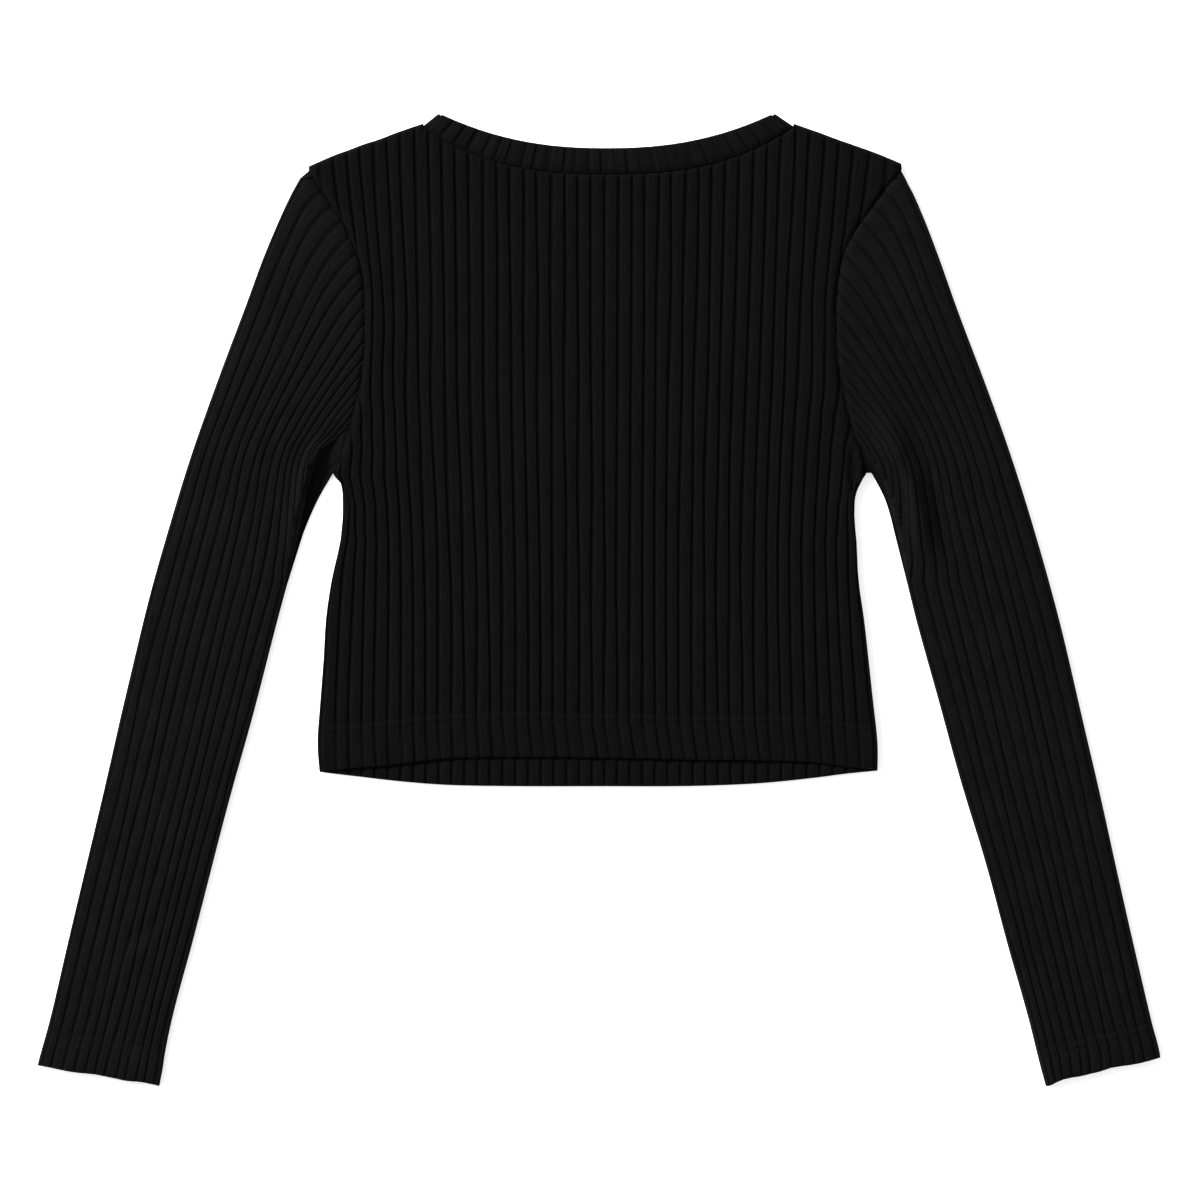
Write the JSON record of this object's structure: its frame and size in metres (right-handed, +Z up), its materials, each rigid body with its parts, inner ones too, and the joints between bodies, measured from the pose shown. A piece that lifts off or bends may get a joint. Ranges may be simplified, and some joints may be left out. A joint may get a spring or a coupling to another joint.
{
  "type": "ribbed sweater",
  "caption": "Cropped long-sleeved sweater in wide rib knit, laid flat with its back up, with set-in sleeves and a narrow neckband.",
  "frame": {"origin": "centre of the bounding box's base, on the surface that the sweater lies on", "axes": "+X across the garment to the right sleeve as it lies, +Y from hem to neck, +Z up through both layers"},
  "size_m": [0.6953, 0.6013, 0.006],
  "materials": {
    "body_knit": "matte rib knit",
    "sleeve_knit": "matte rib knit",
    "band_knit": "matte rib knit"
  },
  "bodies": {
    "root": {"back": "body_knit", "front": "body_knit", "sleeve_left": "sleeve_knit", "sleeve_right": "sleeve_knit", "neckband": "band_knit"}
  },
  "joints": []
}
